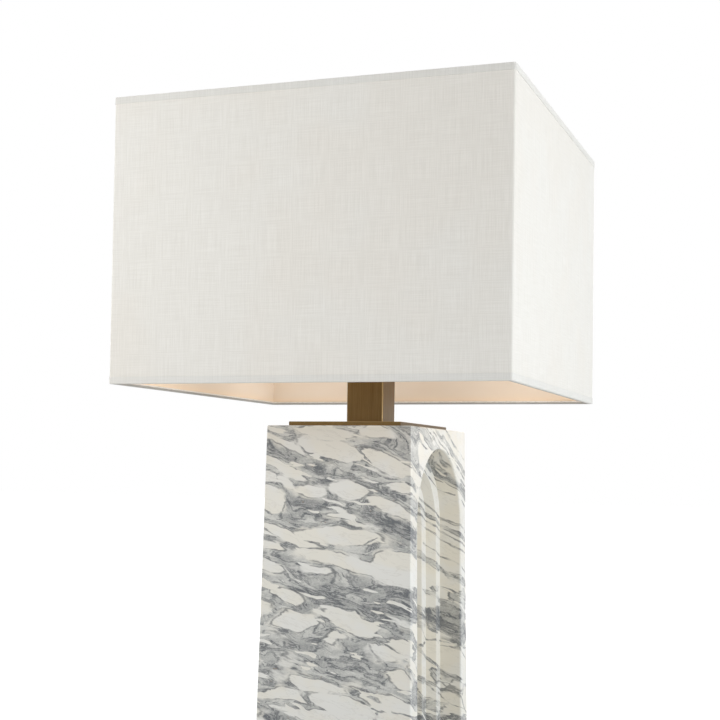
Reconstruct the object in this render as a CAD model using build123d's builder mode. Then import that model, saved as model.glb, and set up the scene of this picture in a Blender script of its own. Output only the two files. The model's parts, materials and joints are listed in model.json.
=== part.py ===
from build123d import *
from math import acos, atan2, cos, radians, sin, tan
import os

# Column table lamp: a carved marble column, a square brass neck and a square linen shade.
# Millimetres, +Z up. The origin is the centre of the underside of the felt pad. The plain
# front of the column faces -Y, the carved arches are on the two X faces, and the cord
# leaves low on the +Y face.

# ---------------------------------------------------------------- driving dimensions

# Felt pad
felt_thickness = 2.0
felt_inset = 5.0  # from the foot of the column

# Marble column
column_height = 394.0
column_top_width = 145.4  # along X
column_top_depth = 186.6  # along Y
column_draft = 0.87  # degrees that each side leans in
column_bevel = 0.9

# Nested arches on the X faces, each one a splayed reveal and a flat ledge
arch_side_margin = 16.9  # face left beside the widest arch
arch_top_margin = 19.4  # face left above it
sill_height = 18.0  # from the foot of the column
ledge_width = 14.2
reveal_depths = (20.4, 9.1, 9.5)
reveal_splays = (7.8, 6.1, 5.7)  # how far each reveal closes in
arch_edge_radius = 1.2

# Bores of the column
pocket_diameter = 70.0  # for the wiring, under the column
pocket_depth = 26.0

# Lamp pipe and its nut and washer
pipe_diameter = 10.3
pipe_bore = 6.8
pipe_fit = 0.1  # round the pipe in metal parts
pipe_room = 0.8  # round the pipe in the marble
base_washer_diameter = 62.0
base_washer_thickness = 3.0
base_nut_flats = 19.0
base_nut_height = 6.0
pipe_end = 4.0  # pipe standing out under the nut
pipe_in_socket = 9.0  # pipe inside the socket cap

# Cord outlet
cord_height = 13.0  # its axis above the foot of the column
cord_bore = 8.0
bushing_diameter = 12.0
bushing_length = 22.0
bushing_flange_diameter = 18.0
bushing_flange_thickness = 2.4
bushing_recess = 1.2  # flat seat cut into the leaning face
bushing_fit = 0.1
bushing_round = 0.8

# Brass plate and neck
plate_margin = 16.0  # marble left bare round the plate
plate_thickness = 4.4
plate_bevel = 0.4
neck_side = 38.1
neck_wall = 2.0
neck_corner = 1.5
neck_height = 77.2
neck_fit = 0.1
locator_thickness = 6.0
cap_thickness = 3.0
cap_spigot = 4.0

# Harp saddle and its nut
saddle_thickness = 1.6
saddle_centre_diameter = 24.0
saddle_arm_width = 9.0
tab_width = 4.6
tab_height = 11.0
lock_washer_diameter = 19.0
lock_washer_thickness = 1.0
saddle_nut_flats = 15.0
saddle_nut_height = 3.6

# Harp
harp_height = 203.0  # saddle to the top of the loop, 8 inches
harp_foot_offset = 28.0
harp_half_width = 57.0
harp_neck_rise = 45.0  # saddle to the first bend
harp_flare_rise = 45.0
harp_shoulder_drop = 48.0
harp_half_flat = 30.0
harp_bend_radius = 20.0
harp_wire = 4.0
harp_foot_diameter = 7.0
harp_foot_height = 14.0
harp_foot_cover = 1.5  # wire inside the solid top of each foot
tab_fit = 0.15
harp_pad_diameter = 16.0
harp_pad_rise = 1.0  # pad above the wire
stud_diameter = 6.2
stud_height = 17.0
stud_bevel = 0.6
sleeve_wall = 1.0
sleeve_length = 13.5
sleeve_fit = 0.1
sleeve_bevel = 0.4
tab_slot_depth = 12.0
seat_gap = 0.3  # between pieces that move and what they rest on

# Socket
socket_wall = 0.8
socket_hub_diameter = 16.0
socket_hub_height = 6.0
socket_cap_height = 18.0
socket_diameter = 34.0
socket_mouth_diameter = 32.0
socket_lower_height = 24.0
socket_shoulder_height = 4.0
socket_upper_height = 20.0
socket_overlap = 5.0  # shell inside the cap
socket_fit = 0.1
liner_wall = 0.7
liner_setback = 2.0  # liner below the mouth of the shell
socket_body_diameter = 29.0
socket_body_height = 22.0
terminal_flat = 12.5  # flats of the body from its axis
terminal_height = 8.0  # screws above the bottom of the body
terminal_head_diameter = 5.0
terminal_head_height = 1.2
terminal_shank_diameter = 3.0
terminal_shank_length = 5.0
contact_diameter = 8.0
contact_thickness = 0.8
screw_flange_bore = 13.0

# Screw thread of the bulb
thread_pitch = 3.6
thread_depth = 0.7
thread_turns = 5
bulb_thread_diameter = 26.0
thread_room = 0.25
screw_shell_wall = 0.5
bulb_cap_wall = 0.5

# Switch key
switch_height = 11.0  # its axis above the bottom of the socket body
switch_shaft_diameter = 4.0
switch_shaft_depth = 10.0  # shaft inside the socket body
switch_fit = 0.1
switch_room = 0.5  # round the shaft in the shell
switch_stand = 5.0  # collar end outside the shell
switch_collar_diameter = 8.0
switch_collar_gap = 0.6  # collar clear of the shell
switch_key_round = 1.2
switch_key_width = 14.0
switch_key_length = 11.0
switch_key_thickness = 4.2

# Bulb
bulb_length = 108.0
bulb_diameter = 60.0
bulb_wall = 1.0
bulb_neck_diameter = 27.4
bulb_tip_height = 0.8
bulb_tip_diameter = 9.0
bulb_insulator_height = 2.2
bulb_insulator_diameter = 22.0

# Shade
shade_side = 381.0  # 15 inches
shade_height = 267.0
shade_corner = 2.5
spider_drop = 10.6  # spider seat below the top of the shade
hem_thickness = 0.4
hem_height = 6.5
hem_return = 4.4  # height of the hem inside
fabric_thickness = 0.8
liner_thickness = 0.6
frame_wire = 3.0
frame_fit = 0.1
frame_corner = 5.0
arm_wire = 2.6
hub_diameter = 26.0
hub_thickness = 2.6
hub_fit = 0.1
seam_width = 12.0

# Finial
finial_fit = 0.1
finial_gap = 0.3  # finial above the hub of the shade
finial_neck_diameter = 12.0
finial_neck_height = 10.0
finial_side = 19.0
finial_height = 15.0
finial_bevel = 1.2

# ---------------------------------------------------------------- levels

column_bottom_z = felt_thickness
column_top_z = column_bottom_z + column_height
column_flare = column_height * tan(radians(column_draft))
column_foot_width = column_top_width + 2 * column_flare
column_foot_depth = column_top_depth + 2 * column_flare

pocket_roof_z = column_bottom_z + pocket_depth
cord_z = column_bottom_z + cord_height
cord_face_y = column_foot_depth / 2 - cord_height * tan(radians(column_draft))
bushing_seat_y = cord_face_y - bushing_recess

pipe_hole = pipe_diameter + 2 * pipe_fit
neck_inside = neck_side - 2 * neck_wall
plate_top_z = column_top_z + plate_thickness
neck_top_z = plate_top_z + neck_height
saddle_z = neck_top_z + cap_thickness
saddle_top_z = saddle_z + saddle_thickness
lock_washer_top_z = saddle_top_z + lock_washer_thickness
saddle_nut_top_z = lock_washer_top_z + saddle_nut_height

socket_z = saddle_nut_top_z
socket_cap_top_z = socket_z + socket_cap_height
shell_bottom_z = socket_cap_top_z - socket_overlap
shell_shoulder_z = shell_bottom_z + socket_lower_height
shell_neck_z = shell_shoulder_z + socket_shoulder_height
shell_top_z = shell_neck_z + socket_upper_height
pipe_top_z = socket_z + pipe_in_socket
pipe_bottom_z = pocket_roof_z - base_washer_thickness - base_nut_height - pipe_end

cap_rim_radius = socket_diameter / 2 + socket_fit + socket_wall
socket_body_z = shell_bottom_z
socket_body_top_z = socket_body_z + socket_body_height
switch_z = socket_body_z + switch_height
switch_shaft_start = socket_body_diameter / 2 - switch_shaft_depth
switch_key_start = socket_diameter / 2 + switch_stand
contact_top_z = socket_body_top_z + contact_thickness
thread_length = thread_pitch * thread_turns
bulb_z = contact_top_z + seat_gap
bulb_insulator_z = bulb_z + bulb_tip_height
bulb_thread_z = bulb_insulator_z + bulb_insulator_height
bulb_thread_top_z = bulb_thread_z + thread_length
bulb_top_z = bulb_z + bulb_length

harp_top_z = saddle_z + harp_height
stud_seat_z = harp_top_z + harp_wire / 2 + harp_pad_rise
stud_top_z = stud_seat_z + stud_height
harp_foot_z = saddle_top_z + seat_gap
harp_foot_top_z = harp_foot_z + harp_foot_height
sleeve_bore = harp_foot_diameter + 2 * sleeve_fit
hub_top_z = stud_seat_z + hub_thickness
shade_top_z = stud_seat_z + spider_drop
shade_bottom_z = shade_top_z - shade_height
finial_z = hub_top_z + finial_gap

fabric_side = shade_side - 2 * hem_thickness
liner_side = fabric_side - 2 * fabric_thickness
inner_side = liner_side - 2 * liner_thickness
fold_side = inner_side - 2 * (frame_wire + 2 * frame_fit)
hem_side = fold_side - 2 * hem_thickness
fabric_corner = shade_corner - hem_thickness
liner_corner = fabric_corner - fabric_thickness
inner_corner = liner_corner - liner_thickness
fold_corner = frame_corner - frame_wire / 2 - frame_fit - hem_thickness

os.makedirs("parts", exist_ok=True)

# ---------------------------------------------------------------- helpers


def finish(builder, name):
    """Label one finished piece and write it to its own file."""
    builder.part.label = name
    export_step(builder.part, f"parts/{name}.step")


def arch_plane(side, depth):
    """Plane of the leaning X face on one side, sunk by a depth. Its Y axis points up."""
    lean = radians(column_draft)
    face = Plane(
        origin=(side * column_top_width / 2, 0, column_top_z),
        x_dir=(0, side, 0),
        z_dir=(side * cos(lean), 0, sin(lean)),
    )
    return face.offset(-depth)


arch_radius = column_top_depth / 2 - arch_side_margin
arch_centre = -(arch_top_margin + arch_radius)
arch_sill = -(column_height - sill_height) / cos(radians(column_draft))


def arch_outline(radius):
    """Round-headed outline that stands on the sill."""
    with BuildLine() as outline:
        head = CenterArc((0, arch_centre), radius, 0, 180)
        Polyline(head @ 1, (-radius, arch_sill), (radius, arch_sill), head @ 0)
    make_face(outline.edges())


def arch_tiers():
    """Mouth radius, floor radius, mouth depth and floor depth of each nested arch."""
    mouth, depth = arch_radius, 0.0
    tiers = []
    for reveal, splay in zip(reveal_depths, reveal_splays):
        tiers.append((mouth, mouth - splay, depth, depth + reveal))
        mouth, depth = mouth - splay - ledge_width, depth + reveal
    return tiers


def mouth_edges(solid, side, tier):
    """Sharp edges round the mouth of one arch: its head and its two sides."""
    radius, _, depth, _ = tier
    plane = arch_plane(side, depth)
    found = []
    for edge in solid.edges():
        ends = [plane.to_local_coords(edge @ t) for t in (0, 0.5, 1)]
        in_plane = all(abs(p.Z) < 0.01 for p in ends)
        head = all(
            abs((p - Vector(0, arch_centre, p.Z)).length - radius) < 0.01 for p in ends
        )
        sides = all(abs(abs(p.X) - radius) < 0.01 for p in ends)
        if in_plane and (head or sides):
            found.append(edge)
    return found


def square_sketch(side, corner):
    """Square with rounded corners, or sharp ones where no radius is left."""
    if corner > 0:
        RectangleRounded(side, side, corner)
    else:
        Rectangle(side, side)


def square_band(outer, outer_corner, inner, inner_corner, start_z, height):
    """Square band in the current part, from one level by a signed height."""
    with BuildSketch(Plane.XY.offset(start_z)) as outside:
        square_sketch(outer, outer_corner)
    with BuildSketch(Plane.XY.offset(start_z)) as inside:
        square_sketch(inner, inner_corner)
    extrude(outside.sketch - inside.sketch, amount=height)


def fold_hem(edge_z, inward):
    """Tape folded round one edge of the shade and its wire; inward is 1 up or -1 down."""
    square_band(
        shade_side, shade_corner, fabric_side, fabric_corner, edge_z, inward * hem_height
    )
    square_band(shade_side, shade_corner, hem_side, fold_corner, edge_z, inward * hem_thickness)
    square_band(
        fold_side, fold_corner + hem_thickness, hem_side, fold_corner, edge_z, inward * hem_return
    )


def thread_points(radius, bottom):
    """Crests and roots of a thread, from its bottom end upwards."""
    points = [(radius - thread_depth, bottom)]
    for turn in range(thread_turns):
        crest = bottom + (turn + 0.5) * thread_pitch
        points.append((radius, crest))
        points.append((radius - thread_depth, crest + thread_pitch / 2))
    return points


def globe_outline(inset):
    """Half of the bulb's outline: a straight flare tangent to a ball."""
    ball = bulb_diameter / 2 - inset
    neck = bulb_neck_diameter / 2 - inset
    centre = bulb_top_z - bulb_diameter / 2
    bottom = bulb_thread_top_z + inset
    reach = Vector(neck, bottom - centre, 0)
    angle = atan2(reach.Y, reach.X) + acos(ball / reach.length)
    touch = (ball * cos(angle), centre + ball * sin(angle))
    middle = (ball * cos(angle / 2 + radians(45)), centre + ball * sin(angle / 2 + radians(45)))
    with BuildLine() as outline:
        Polyline((0, centre + ball), (0, bottom), (neck, bottom), touch)
        ThreePointArc(touch, middle, (0, centre + ball))
    make_face(outline.edges())


# ---------------------------------------------------------------- foot and column

with BuildPart() as felt_pad:
    with BuildSketch():
        Rectangle(column_foot_width - 2 * felt_inset, column_foot_depth - 2 * felt_inset)
    extrude(amount=felt_thickness)
finish(felt_pad, "felt_pad")

with BuildPart() as marble_column:
    with BuildSketch(Plane.XY.offset(column_bottom_z)):
        Rectangle(column_foot_width, column_foot_depth)
    extrude(amount=column_height, taper=column_draft)
    chamfer(marble_column.edges(), column_bevel)
    for side in (1, -1):
        for mouth, floor, start, end in arch_tiers():
            with BuildSketch(arch_plane(side, start)):
                arch_outline(mouth)
            with BuildSketch(arch_plane(side, end)):
                arch_outline(floor)
            loft(ruled=True, mode=Mode.SUBTRACT)
        eased = [e for tier in arch_tiers() for e in mouth_edges(marble_column, side, tier)]
        fillet(eased, arch_edge_radius)
    # Wiring pocket and the pipe hole above it
    with BuildSketch(Plane.XY.offset(column_bottom_z)):
        Circle(pocket_diameter / 2)
    extrude(amount=pocket_depth, mode=Mode.SUBTRACT)
    with BuildSketch(Plane.XY.offset(pocket_roof_z)):
        Circle(pipe_diameter / 2 + pipe_room)
    extrude(amount=column_top_z - pocket_roof_z, mode=Mode.SUBTRACT)
    # Cord channel from the pocket to the back, with a flat seat for the bushing
    with BuildSketch(Plane.XZ.offset(-bushing_seat_y)):
        with Locations((0, cord_z)):
            Circle(bushing_diameter / 2 + bushing_fit)
    extrude(amount=bushing_seat_y, mode=Mode.SUBTRACT)
    with BuildSketch(Plane.XZ.offset(-bushing_seat_y)):
        with Locations((0, cord_z)):
            Circle(bushing_flange_diameter / 2 + bushing_fit)
    extrude(amount=-bushing_flange_thickness, mode=Mode.SUBTRACT)
finish(marble_column, "marble_column")

with BuildPart() as cord_bushing:
    with BuildSketch(Plane.XZ.offset(-bushing_seat_y)):
        with Locations((0, cord_z)):
            Circle(bushing_diameter / 2)
    extrude(amount=bushing_length)
    with BuildSketch(Plane.XZ.offset(-bushing_seat_y)):
        with Locations((0, cord_z)):
            Circle(bushing_flange_diameter / 2)
    extrude(amount=-bushing_flange_thickness)
    rim = cord_bushing.faces().sort_by(Axis.Y)[-1].edges()
    fillet(rim, bushing_round)
    with BuildSketch(Plane.XZ.offset(-bushing_seat_y - bushing_flange_thickness)):
        with Locations((0, cord_z)):
            Circle(cord_bore / 2)
    extrude(amount=bushing_flange_thickness + bushing_length, mode=Mode.SUBTRACT)
finish(cord_bushing, "cord_bushing")

# ---------------------------------------------------------------- pipe, plate and neck

with BuildPart() as base_washer:
    with BuildSketch(Plane.XY.offset(pocket_roof_z)):
        Circle(base_washer_diameter / 2)
        Circle(pipe_hole / 2, mode=Mode.SUBTRACT)
    extrude(amount=-base_washer_thickness)
finish(base_washer, "base_washer")

with BuildPart() as base_nut:
    with BuildSketch(Plane.XY.offset(pocket_roof_z - base_washer_thickness)):
        RegularPolygon(base_nut_flats / 2, 6, major_radius=False)
        Circle(pipe_hole / 2, mode=Mode.SUBTRACT)
    extrude(amount=-base_nut_height)
finish(base_nut, "base_nut")

with BuildPart() as lamp_pipe:
    with BuildSketch(Plane.XY.offset(pipe_bottom_z)):
        Circle(pipe_diameter / 2)
        Circle(pipe_bore / 2, mode=Mode.SUBTRACT)
    extrude(amount=pipe_top_z - pipe_bottom_z)
finish(lamp_pipe, "lamp_pipe")

with BuildPart() as top_plate:
    with BuildSketch(Plane.XY.offset(column_top_z)):
        Rectangle(column_top_width - 2 * plate_margin, column_top_depth - 2 * plate_margin)
    extrude(amount=plate_thickness)
    chamfer(top_plate.faces().sort_by(Axis.Z)[-1].edges(), plate_bevel)
    with BuildSketch(Plane.XY.offset(column_top_z)):
        Circle(pipe_hole / 2)
    extrude(amount=plate_thickness, mode=Mode.SUBTRACT)
finish(top_plate, "top_plate")

with BuildPart() as neck_tube:
    with BuildSketch(Plane.XY.offset(plate_top_z)):
        RectangleRounded(neck_side, neck_side, neck_corner)
        Rectangle(neck_inside, neck_inside, mode=Mode.SUBTRACT)
    extrude(amount=neck_height)
finish(neck_tube, "neck_tube")

with BuildPart() as neck_locator:
    with BuildSketch(Plane.XY.offset(plate_top_z)):
        Rectangle(neck_inside - 2 * neck_fit, neck_inside - 2 * neck_fit)
        Circle(pipe_hole / 2, mode=Mode.SUBTRACT)
    extrude(amount=locator_thickness)
finish(neck_locator, "neck_locator")

with BuildPart() as neck_cap:
    with BuildSketch(Plane.XY.offset(neck_top_z)):
        RectangleRounded(neck_side, neck_side, neck_corner)
    extrude(amount=cap_thickness)
    chamfer(neck_cap.faces().sort_by(Axis.Z)[-1].edges(), plate_bevel)
    with BuildSketch(Plane.XY.offset(neck_top_z)):
        Rectangle(neck_inside - 2 * neck_fit, neck_inside - 2 * neck_fit)
    extrude(amount=-cap_spigot)
    with BuildSketch(Plane.XY.offset(neck_top_z - cap_spigot)):
        Circle(pipe_hole / 2)
    extrude(amount=cap_spigot + cap_thickness, mode=Mode.SUBTRACT)
finish(neck_cap, "neck_cap")

# ---------------------------------------------------------------- saddle and harp

with BuildPart() as harp_saddle:
    with BuildSketch(Plane.XY.offset(saddle_z)):
        Circle(saddle_centre_diameter / 2)
        Rectangle(saddle_arm_width, 2 * harp_foot_offset + saddle_arm_width)
        Circle(pipe_hole / 2, mode=Mode.SUBTRACT)
    extrude(amount=saddle_thickness)
    with BuildSketch(Plane.XY.offset(saddle_top_z)):
        with Locations((0, harp_foot_offset), (0, -harp_foot_offset)):
            Rectangle(tab_width, saddle_thickness)
    extrude(amount=tab_height)
finish(harp_saddle, "harp_saddle")

with BuildPart() as lock_washer:
    with BuildSketch(Plane.XY.offset(saddle_top_z)):
        Circle(lock_washer_diameter / 2)
        Circle(pipe_hole / 2, mode=Mode.SUBTRACT)
    extrude(amount=lock_washer_thickness)
finish(lock_washer, "lock_washer")

with BuildPart() as saddle_nut:
    with BuildSketch(Plane.XY.offset(lock_washer_top_z)):
        RegularPolygon(saddle_nut_flats / 2, 6, major_radius=False)
        Circle(pipe_hole / 2, mode=Mode.SUBTRACT)
    extrude(amount=saddle_nut_height)
finish(saddle_nut, "saddle_nut")

with BuildPart() as harp:
    left = [
        (-harp_foot_offset, harp_foot_top_z - harp_foot_cover),
        (-harp_foot_offset, saddle_z + harp_neck_rise),
        (-harp_half_width, saddle_z + harp_neck_rise + harp_flare_rise),
        (-harp_half_width, harp_top_z - harp_shoulder_drop),
        (-harp_half_flat, harp_top_z),
    ]
    right = [(-y, z) for y, z in reversed(left)]
    with BuildLine(Plane.YZ):
        loop = FilletPolyline(*left, *right, radius=harp_bend_radius)
    with BuildSketch(Plane(origin=loop @ 0, z_dir=loop % 0)):
        Circle(harp_wire / 2)
    sweep()
    # Feet that drop over the tabs of the saddle
    with BuildSketch(Plane.XY.offset(harp_foot_z)):
        with Locations((0, harp_foot_offset), (0, -harp_foot_offset)):
            Circle(harp_foot_diameter / 2)
    extrude(amount=harp_foot_height)
    with BuildSketch(Plane.XY.offset(harp_foot_z)):
        with Locations((0, harp_foot_offset), (0, -harp_foot_offset)):
            Rectangle(tab_width + 2 * tab_fit, saddle_thickness + 2 * tab_fit)
    extrude(amount=tab_slot_depth, mode=Mode.SUBTRACT)
    # Seat and stud for the shade
    with BuildSketch(Plane.XY.offset(harp_top_z)):
        Circle(harp_pad_diameter / 2)
    extrude(amount=stud_seat_z - harp_top_z)
    with BuildSketch(Plane.XY.offset(stud_seat_z)):
        Circle(stud_diameter / 2)
    extrude(amount=stud_height)
    chamfer(harp.faces().sort_by(Axis.Z)[-1].edges(), stud_bevel)
finish(harp, "harp")

for name, side in (("harp_sleeve_left", -1), ("harp_sleeve_right", 1)):
    with BuildPart() as sleeve:
        with BuildSketch(Plane.XY.offset(harp_foot_z)):
            with Locations((0, side * harp_foot_offset)):
                Circle(sleeve_bore / 2 + sleeve_wall)
        extrude(amount=sleeve_length)
        chamfer(sleeve.edges().filter_by(GeomType.CIRCLE), sleeve_bevel)
        with BuildSketch(Plane.XY.offset(harp_foot_z)):
            with Locations((0, side * harp_foot_offset)):
                Circle(sleeve_bore / 2)
        extrude(amount=sleeve_length, mode=Mode.SUBTRACT)
    finish(sleeve, name)

# ---------------------------------------------------------------- socket

bell_radius = cap_rim_radius - socket_hub_diameter / 2
bell_z = socket_cap_top_z - socket_overlap

with BuildPart() as socket_cap:
    with BuildSketch(Plane.XZ):
        with BuildLine():
            Line((0, bell_z - bell_radius), (socket_hub_diameter / 2, bell_z - bell_radius))
            bell = CenterArc((socket_hub_diameter / 2, bell_z), bell_radius, -90, 90)
            Polyline(
                bell @ 1,
                (cap_rim_radius, socket_cap_top_z),
                (0, socket_cap_top_z),
                (0, bell_z - bell_radius),
            )
        make_face()
    revolve(axis=Axis.Z)
    with BuildSketch(Plane.XZ):
        with BuildLine():
            floor_z = bell_z - bell_radius + socket_wall
            Line((0, floor_z), (socket_hub_diameter / 2, floor_z))
            bell = CenterArc(
                (socket_hub_diameter / 2, bell_z), bell_radius - socket_wall, -90, 90
            )
            Polyline(
                bell @ 1,
                (cap_rim_radius - socket_wall, socket_cap_top_z),
                (0, socket_cap_top_z),
                (0, floor_z),
            )
        make_face()
    revolve(axis=Axis.Z, mode=Mode.SUBTRACT)
    with BuildSketch(Plane.XY.offset(socket_z)):
        Circle(socket_hub_diameter / 2)
    extrude(amount=socket_hub_height)
    with BuildSketch(Plane.XY.offset(socket_z)):
        Circle(pipe_hole / 2)
    extrude(amount=socket_hub_height, mode=Mode.SUBTRACT)
finish(socket_cap, "socket_cap")

shell_tiers = (
    ("socket_shell", 0.0, socket_wall, 0.0),
    ("socket_liner", socket_wall + socket_fit, liner_wall, liner_setback),
)
for name, inset, wall, setback in shell_tiers:
    with BuildPart() as shell:
        with BuildSketch(Plane.XZ):
            lower = socket_diameter / 2 - inset
            upper = socket_mouth_diameter / 2 - inset
            with BuildLine():
                Polyline(
                    (lower, shell_bottom_z),
                    (lower, shell_shoulder_z),
                    (upper, shell_neck_z),
                    (upper, shell_top_z - setback),
                    (upper - wall, shell_top_z - setback),
                    (upper - wall, shell_neck_z),
                    (lower - wall, shell_shoulder_z),
                    (lower - wall, shell_bottom_z),
                    close=True,
                )
            make_face()
        revolve(axis=Axis.Z)
        with BuildSketch(Plane.YZ):
            with Locations((0, switch_z)):
                Circle(switch_shaft_diameter / 2 + switch_room)
        extrude(amount=socket_diameter, mode=Mode.SUBTRACT)
    finish(shell, name)

with BuildPart() as socket_body:
    with BuildSketch(Plane.XY.offset(socket_body_z)):
        Circle(socket_body_diameter / 2)
        Rectangle(socket_body_diameter, 2 * terminal_flat, mode=Mode.INTERSECT)
    extrude(amount=socket_body_height)
    with BuildSketch(Plane.YZ.offset(switch_shaft_start - seat_gap)):
        with Locations((0, switch_z)):
            Circle(switch_shaft_diameter / 2 + switch_fit)
    extrude(amount=socket_body_diameter, mode=Mode.SUBTRACT)
    with BuildSketch(Plane.XZ.offset(-terminal_flat)):
        with Locations((0, socket_body_z + terminal_height)):
            Circle(terminal_shank_diameter / 2)
    extrude(amount=terminal_shank_length, mode=Mode.SUBTRACT)
    with BuildSketch(Plane.XZ.offset(terminal_flat)):
        with Locations((0, socket_body_z + terminal_height)):
            Circle(terminal_shank_diameter / 2)
    extrude(amount=-terminal_shank_length, mode=Mode.SUBTRACT)
finish(socket_body, "socket_body")

with BuildPart() as terminal_screws:
    for side in (1, -1):
        with BuildSketch(Plane.XZ.offset(-side * terminal_flat)):
            with Locations((0, socket_body_z + terminal_height)):
                Circle(terminal_head_diameter / 2)
        extrude(amount=-side * terminal_head_height)
        with BuildSketch(Plane.XZ.offset(-side * terminal_flat)):
            with Locations((0, socket_body_z + terminal_height)):
                Circle(terminal_shank_diameter / 2)
        extrude(amount=side * terminal_shank_length)
finish(terminal_screws, "terminal_screws")

with BuildPart() as centre_contact:
    with BuildSketch(Plane.XY.offset(socket_body_top_z)):
        Circle(contact_diameter / 2)
    extrude(amount=contact_thickness)
finish(centre_contact, "centre_contact")

with BuildPart() as screw_shell:
    with BuildSketch(Plane.XZ):
        bore = bulb_thread_diameter / 2 + thread_room
        inside = thread_points(bore, bulb_thread_z)
        outside = thread_points(bore + screw_shell_wall, bulb_thread_z)
        flange_top_z = socket_body_top_z + screw_shell_wall
        with BuildLine():
            Polyline(
                (screw_flange_bore / 2, socket_body_top_z),
                (screw_flange_bore / 2, flange_top_z),
                (inside[0][0], flange_top_z),
                *inside,
                *reversed(outside),
                (outside[0][0], socket_body_top_z),
                close=True,
            )
        make_face()
    revolve(axis=Axis.Z)
finish(screw_shell, "screw_shell")

# ---------------------------------------------------------------- switch key

with BuildPart() as switch_shaft:
    with BuildSketch(Plane.YZ.offset(switch_shaft_start)):
        with Locations((0, switch_z)):
            Circle(switch_shaft_diameter / 2)
    extrude(amount=switch_key_start - switch_shaft_start)
finish(switch_shaft, "switch_shaft")

with BuildPart() as switch_key:
    with BuildSketch(Plane.XZ):
        with Locations((switch_key_start + switch_key_length / 2, switch_z)):
            RectangleRounded(switch_key_length, switch_key_width, switch_key_length / 3)
    extrude(amount=switch_key_thickness / 2, both=True)
    fillet(switch_key.faces().filter_by(Plane.XZ).edges(), switch_key_round)
    with BuildSketch(Plane.YZ.offset(socket_diameter / 2 + switch_collar_gap)):
        with Locations((0, switch_z)):
            Circle(switch_collar_diameter / 2)
            Circle(switch_shaft_diameter / 2 + switch_fit, mode=Mode.SUBTRACT)
    extrude(amount=switch_key_start - socket_diameter / 2 - switch_collar_gap)
finish(switch_key, "switch_key")

# ---------------------------------------------------------------- bulb

with BuildPart() as bulb_contact:
    with BuildSketch(Plane.XY.offset(bulb_z)):
        Circle(bulb_tip_diameter / 2)
    extrude(amount=bulb_tip_height)
finish(bulb_contact, "bulb_contact")

with BuildPart() as bulb_insulator:
    with BuildSketch(Plane.XY.offset(bulb_insulator_z)):
        Circle(bulb_tip_diameter / 2)
    with BuildSketch(Plane.XY.offset(bulb_thread_z)):
        Circle(bulb_insulator_diameter / 2)
    loft()
finish(bulb_insulator, "bulb_insulator")

with BuildPart() as bulb_cap:
    with BuildSketch(Plane.XZ):
        crests = thread_points(bulb_thread_diameter / 2, bulb_thread_z)
        inside = crests[0][0] - bulb_cap_wall
        with BuildLine():
            Polyline(
                (inside, bulb_thread_z), *crests, (inside, bulb_thread_top_z), close=True
            )
        make_face()
    revolve(axis=Axis.Z)
finish(bulb_cap, "bulb_cap")

with BuildPart() as bulb_globe:
    with BuildSketch(Plane.XZ):
        globe_outline(0)
    revolve(axis=Axis.Z)
    with BuildSketch(Plane.XZ):
        globe_outline(bulb_wall)
    revolve(axis=Axis.Z, mode=Mode.SUBTRACT)
finish(bulb_globe, "bulb_globe")

# ---------------------------------------------------------------- shade

wall_bottom_z = shade_bottom_z + hem_thickness
wall_height = shade_height - 2 * hem_thickness

with BuildPart() as shade_fabric:
    square_band(
        fabric_side, fabric_corner, liner_side, liner_corner, wall_bottom_z, wall_height
    )
finish(shade_fabric, "shade_fabric")

with BuildPart() as shade_liner:
    square_band(liner_side, liner_corner, inner_side, inner_corner, wall_bottom_z, wall_height)
finish(shade_liner, "shade_liner")

wire_half = inner_side / 2 - frame_fit - frame_wire / 2
wire_inset = hem_thickness + frame_fit + frame_wire / 2
corners = [(wire_half, wire_half), (-wire_half, wire_half)]
corners += [(-x, -y) for x, y in corners]
top_wire_z = shade_top_z - wire_inset

# Ends of the four arms, from the rim of the hub to the corners of the frame
diagonal = cos(radians(45))
arm_inner = (hub_diameter / 2 + frame_fit) * diagonal
arm_outer = wire_half - frame_corner * (1 - diagonal)
arm_inner_z = stud_seat_z + hub_thickness / 2
arms = [
    ((x * arm_inner, y * arm_inner, arm_inner_z), (x * arm_outer, y * arm_outer, top_wire_z))
    for x, y in ((1, 1), (-1, 1), (-1, -1), (1, -1))
]

with BuildPart() as bottom_hem:
    fold_hem(shade_bottom_z, 1)
finish(bottom_hem, "bottom_hem")

with BuildPart() as top_hem:
    fold_hem(shade_top_z, -1)
    for inner, outer in arms:
        with BuildLine():
            arm = Line(inner, outer)
        with BuildSketch(Plane(origin=arm @ 0, z_dir=arm % 0)):
            Circle(arm_wire / 2 + frame_fit)
        sweep(mode=Mode.SUBTRACT)
finish(top_hem, "top_hem")

with BuildPart() as back_seam:
    with BuildSketch(Plane.XZ.offset(-fabric_side / 2)):
        with Locations((0, (shade_bottom_z + shade_top_z) / 2)):
            Rectangle(seam_width, shade_height - 2 * hem_height)
    extrude(amount=-hem_thickness)
finish(back_seam, "back_seam")

with BuildPart() as bottom_frame:
    with BuildLine(Plane.XY.offset(shade_bottom_z + wire_inset)):
        square = FilletPolyline(*corners, radius=frame_corner, close=True)
    with BuildSketch(Plane(origin=square @ 0, z_dir=square % 0)):
        Circle(frame_wire / 2)
    sweep()
finish(bottom_frame, "bottom_frame")

with BuildPart() as top_frame:
    with BuildLine(Plane.XY.offset(top_wire_z)):
        square = FilletPolyline(*corners, radius=frame_corner, close=True)
    with BuildSketch(Plane(origin=square @ 0, z_dir=square % 0)):
        Circle(frame_wire / 2)
    sweep()
    for inner, outer in arms:
        with BuildLine():
            arm = Line(inner, outer)
        with BuildSketch(Plane(origin=arm @ 0, z_dir=arm % 0)):
            Circle(arm_wire / 2)
        sweep()
finish(top_frame, "top_frame")

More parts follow.
